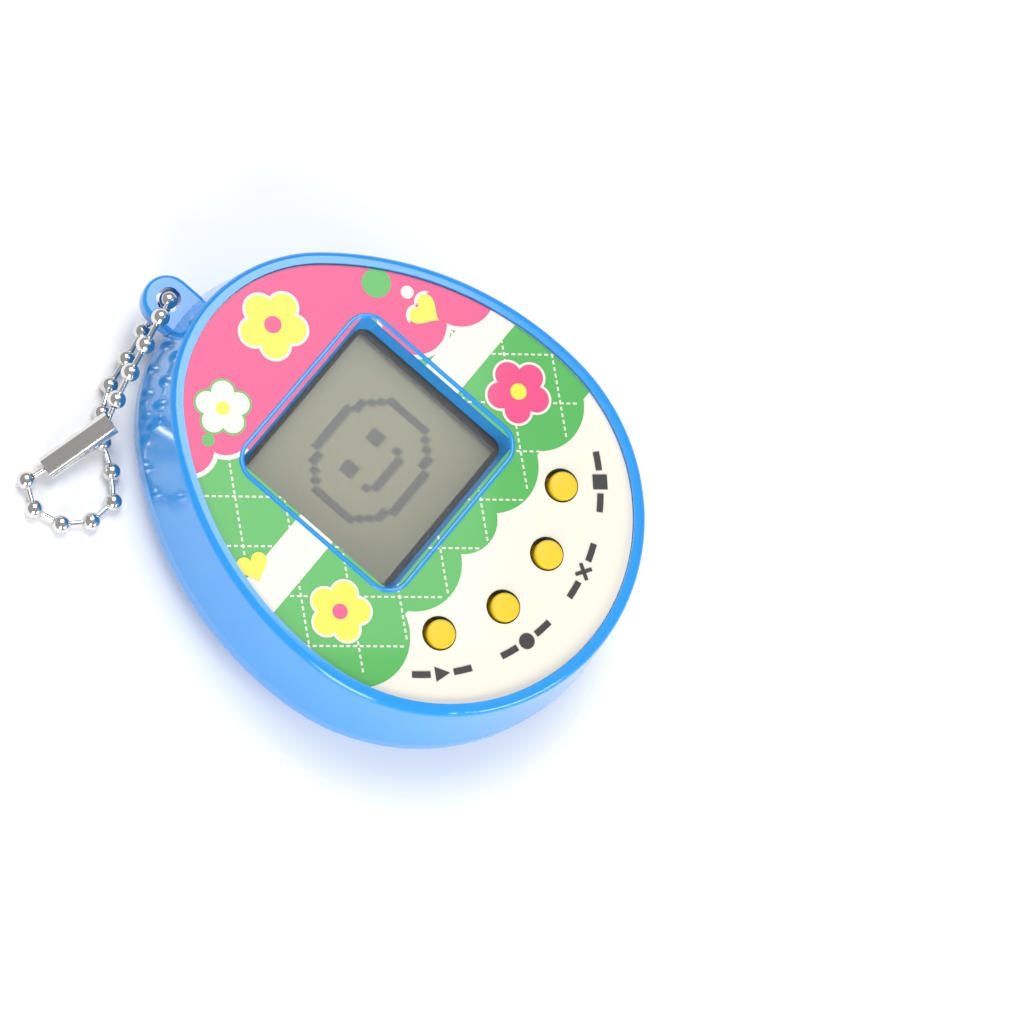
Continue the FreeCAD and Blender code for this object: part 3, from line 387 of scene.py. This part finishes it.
def cut_line(outline, point, normal):
    """Keeps the side of a line that a normal points to: crossing edges get a point at their crossing."""
    if len(outline) < 3:
        return outline
    depth = (outline - point) @ normal
    after = np.roll(depth, -1)
    nexts = np.roll(outline, -1, axis=0)
    crossing = (depth >= 0) != (after >= 0)
    share = np.where(crossing, depth / np.where(crossing, depth - after, 1), 0)
    meets = outline + share[:, None] * (nexts - outline)
    pair = np.stack([outline, meets], axis=1).reshape(-1, 2)
    wanted = np.stack([depth >= 0, crossing], axis=1).reshape(-1)
    return pair[wanted]


def cut_to_label(outline):
    """Cuts an outline to the egg, then into the parts left, right, above and below the window."""
    box_low, box_high = outline.min(axis=0), outline.max(axis=0)
    nexts = np.roll(EDGE, -1, axis=0)
    inward = np.c_[EDGE[:, 1] - nexts[:, 1], nexts[:, 0] - EDGE[:, 0]]
    for point, normal in zip(EDGE, inward):
        outline = cut_line(outline, point, normal)
    near = abs(box_low[0] + box_high[0]) / 2 - (box_high[0] - box_low[0]) / 2 < WINDOW_X
    tall = abs((box_low[1] + box_high[1]) / 2 - WINDOW_MIDDLE) - (box_high[1] - box_low[1]) / 2 < WINDOW_Y
    if not (near and tall):
        return [outline]
    right, up = np.array([1.0, 0.0]), np.array([0.0, 1.0])
    corner_low = np.array([-WINDOW_X, WINDOW_MIDDLE - WINDOW_Y])
    corner_high = np.array([WINDOW_X, WINDOW_MIDDLE + WINDOW_Y])
    middle = cut_line(cut_line(outline, corner_low, right), corner_high, -right)
    return [cut_line(outline, corner_high, right), cut_line(outline, corner_low, -right),
            cut_line(middle, corner_high, up), cut_line(middle, corner_low, -up)]


def ink(name, outlines, layer, material):
    """Fills outlines as flat faces, each a hair above the one before, so that later ones lie on top."""
    cuts = [[part for part in cut_to_label(outline) if len(part) > 2] for outline in outlines]
    flat_parts = [(order, part) for order, parts in enumerate(cuts) for part in parts]
    vertices, faces, count = [], [], 0
    for order, part in flat_parts:
        curve = bpy.data.curves.new("outline", "CURVE")
        curve.dimensions = "2D"
        curve.fill_mode = "BOTH"
        spline = curve.splines.new("POLY")
        spline.points.add(len(part) - 1)
        spline.points.foreach_set("co", np.c_[part, np.zeros(len(part)), np.ones(len(part))].ravel())
        spline.use_cyclic_u = True
        holder = bpy.data.objects.new("outline", curve)
        bpy.context.scene.collection.objects.link(holder)
        mesh = bpy.data.meshes.new_from_object(holder)
        flat = np.empty(len(mesh.vertices) * 3)
        mesh.vertices.foreach_get("co", flat)
        points = flat.reshape(-1, 3)[:, :2]
        for polygon in mesh.polygons:
            corners = list(polygon.vertices)
            loop = points[corners]
            area = np.sum(loop[:, 0] * np.roll(loop[:, 1], -1) - loop[:, 1] * np.roll(loop[:, 0], -1))
            if abs(area) > 1e-9:
                faces.append([c + count for c in (corners if area > 0 else corners[::-1])])
        height = LABEL_TOP + (layer + order / len(outlines)) * INK_STEP
        vertices.append(np.c_[points * MM, np.full(len(points), height)])
        count += len(points)
        bpy.data.objects.remove(holder)
        bpy.data.curves.remove(curve)
        bpy.data.meshes.remove(mesh)
    return add_piece(name, np.concatenate(vertices), faces, material)


def disc(x, y, radius, tall=None, lean=0.0, count=48):
    """An ellipse: centre + (radius cos, tall sin), turned by a lean in degrees."""
    turn = np.linspace(0, 2 * np.pi, count, endpoint=False)
    return turned(np.c_[radius * np.cos(turn), (tall or radius) * np.sin(turn)], lean) + (x, y)


def turned(points, degrees):
    c, s = math.cos(math.radians(degrees)), math.sin(math.radians(degrees))
    return np.asarray(points) @ np.array([[c, s], [-s, c]])


def grown(outline, distance):
    """The outline moved outwards along its own normals."""
    ahead = np.roll(outline, -1, axis=0) - np.roll(outline, 1, axis=0)
    normal = np.c_[ahead[:, 1], -ahead[:, 0]] / np.maximum(np.linalg.norm(ahead, axis=1), 1e-9)[:, None]
    area = np.sum(outline[:, 0] * np.roll(outline[:, 1], -1) - outline[:, 1] * np.roll(outline[:, 0], -1))
    return outline + normal * distance * np.sign(area)


def print_ink(name, colour):
    return finish_material(name, colour, 0.34, coat=0.25, scale=900, amount=0.03, bump=0.04)


CREAM_INK = print_ink("cream_ink", (0.72, 0.68, 0.59))
PINK_INK = print_ink("pink_ink", (0.74, 0.032, 0.17))
GREEN_INK = print_ink("green_ink", (0.045, 0.36, 0.055))
YELLOW_INK = print_ink("yellow_ink", (0.79, 0.66, 0.025))
BLACK_INK = print_ink("black_ink", (0.012, 0.012, 0.014))
dress(["face_label"], print_ink("cream_film", (0.72, 0.68, 0.59)))

# Quilted green field: it ends in scallops above the buttons, with cream dashes in a diamond lattice.
GREEN_EDGE = -9.4
GREEN_SCALLOPS = ((-16.6, -7.0, 5.6), (-6.6, -6.4, 5.4), (0.6, -7.5, 3.9), (7.2, -6.2, 5.3),
                  (15.8, -6.0, 5.1))
green_field = np.array([(-24, 18), (-24, GREEN_EDGE), (24, GREEN_EDGE), (24, 9), (11, 9), (11, 18)])
ink("label_green", [green_field] + [disc(*each) for each in GREEN_SCALLOPS], 1, GREEN_INK)


def lattice_dashes():
    """Short bars along two families of slanting lines, kept where the field is green."""
    slope, spacing, pitch, length, width = 48.5, 5.25, 0.72, 0.42, 0.2
    bars = []
    for lean in (slope, -slope):
        along = np.array([math.cos(math.radians(lean)), math.sin(math.radians(lean))])
        across = np.array([-along[1], along[0]])
        lines, spots = np.meshgrid(np.arange(-9, 10) * spacing, np.arange(-60, 61) * pitch)
        centres = (-10.5, -7.8) + lines.reshape(-1, 1) * across + spots.reshape(-1, 1) * along
        inside = centres[:, 1] > GREEN_EDGE
        for x, y, radius in GREEN_SCALLOPS:
            inside |= np.hypot(centres[:, 0] - x, centres[:, 1] - y) < radius - 0.3
        inside &= centres[:, 1] < 17
        inside &= np.hypot(centres[:, 0], centres[:, 1]) < 22
        box = np.array([(-1, -1), (1, -1), (1, 1), (-1, 1)])
        local = box[:, :1] * along * length / 2 + box[:, 1:] * across * width / 2
        bars += [centre + local for centre in centres[inside]]
    return bars


ink("label_quilt", lattice_dashes(), 2, CREAM_INK)

# Band: a plain cream stripe across the label, behind the window.
ink("label_band", [np.array([(-24, 1.2), (24, 1.2), (24, 5.6), (-24, 5.6)])], 3, CREAM_INK)

# Pink field: the narrow end, with scallops at its lower edge and a cream border.
PINK_SCALLOPS = ((13.6, 9.5, 3.55), (19.6, 8.0, 3.9), (-13.4, 18.9, 2.75), (-9.2, 17.3, 2.75))
pink_field = np.array([(-24, 18.9), (-13.4, 18.9), (-9.2, 17.3), (-9.2, 13), (11, 13), (11, 9.5), (13.6, 9.5),
                       (19.6, 8.0), (24, 8.0), (24, 30), (-24, 30)])
ink("label_pink_border", [disc(x, y, radius + 0.5) for x, y, radius in PINK_SCALLOPS], 5, CREAM_INK)
ink("label_pink", [pink_field] + [disc(*each) for each in PINK_SCALLOPS], 6, PINK_INK)


# Flowers: five round petals and a round middle, a plain pattern with a thin border.
# All radii are shares of the flower's size.
PETALS, PETAL_REACH, BORDER_SHARE, PETAL_SHARE, HEART_SHARE, MIDDLE_SHARE = 5, 0.6, 0.5, 0.42, 0.4, 0.26


def add_flower(name, x, y, size, lean, layer, petals, border, middle):
    arm = np.array([(PETAL_REACH * size, 0)])
    spots = [turned(arm, lean + 360 / PETALS * step)[0] + (x, y) for step in range(PETALS)]
    ink(name + "_border", [disc(*spot, BORDER_SHARE * size) for spot in spots], layer, border)
    petal_discs = [disc(*spot, PETAL_SHARE * size) for spot in spots]
    ink(name + "_petals", petal_discs + [disc(x, y, HEART_SHARE * size)], layer + 1, petals)
    ink(name + "_middle", [disc(x, y, MIDDLE_SHARE * size)], layer + 2, middle)


add_flower("yellow_flower", 3.0, 20.6, 3.6, 10, 7, YELLOW_INK, CREAM_INK, PINK_INK)
add_flower("cream_flower", -7.6, 18.9, 2.9, 40, 7, CREAM_INK, GREEN_INK, YELLOW_INK)
add_flower("pink_flower", 15.4, -3.6, 3.4, 0, 7, PINK_INK, CREAM_INK, YELLOW_INK)
add_flower("low_flower", -16.0, -4.0, 3.2, 25, 7, YELLOW_INK, CREAM_INK, PINK_INK)


# Small marks: hearts and dots.
def heart(x, y, size, lean):
    """Two lobes and a point: x = sin cubed, y = cos minus smaller cosines of its multiples."""
    turn = np.linspace(0, 2 * np.pi, 64, endpoint=False)
    shape = np.c_[16 * np.sin(turn) ** 3,
                  13 * np.cos(turn) - 5 * np.cos(2 * turn) - 2 * np.cos(3 * turn) - np.cos(4 * turn)] / 16
    return turned(shape * size, lean) + (x, y)


ink("heart_outline", [grown(heart(15.3, 9.4, 1.75, 8), 0.36)], 7, CREAM_INK)
ink("yellow_marks", [heart(15.3, 9.4, 1.75, 8), heart(-18.5, 5.9, 1.7, -28)], 8, YELLOW_INK)
ink("green_dots", [disc(14.1, 15.2, 1.6), disc(-11.3, 17.9, 0.68)], 8, GREEN_INK)
ink("cream_dot", [disc(15.6, 12.1, 0.7)], 8, CREAM_INK)


# Key marks: plain signs printed below the buttons, each between two short curved bars.
def arc_bar(angle, span, radius, width, centre=(0.0, -1.0)):
    turn = np.radians(np.linspace(angle - span / 2, angle + span / 2, 12))
    inner, outer = radius - width / 2, radius + width / 2
    ring = np.concatenate([np.c_[outer * np.cos(turn), outer * np.sin(turn)],
                           np.c_[inner * np.cos(turn[::-1]), inner * np.sin(turn[::-1])]])
    return ring + centre


def key_sign(kind):
    """A sign about 1.6 mm high, upright."""
    if kind == "select":
        return [np.array([(-0.75, -0.8), (0.85, 0.0), (-0.75, 0.8)])]
    if kind == "decide":
        return [disc(0, 0, 0.85)]
    if kind == "cancel":
        bar = np.array([(-0.95, -0.2), (0.95, -0.2), (0.95, 0.2), (-0.95, 0.2)])
        return [turned(bar, 45), turned(bar, -45)]
    return [np.array([(-0.8, -0.8), (0.8, -0.8), (0.8, 0.8), (-0.8, 0.8)])]


marks = []
for kind, angle in (("select", 228), ("decide", 256), ("cancel", 284), ("reset", 312)):
    radius = 20.6
    centre = np.array([radius * math.cos(math.radians(angle)), radius * math.sin(math.radians(angle)) - 1.0])
    marks += [turned(part, angle + 90) + centre for part in key_sign(kind)]
    marks += [arc_bar(angle + side * 6.3, 5.6, radius, 0.7) for side in (-1, 1)]
ink("key_marks", marks, 7, BLACK_INK)
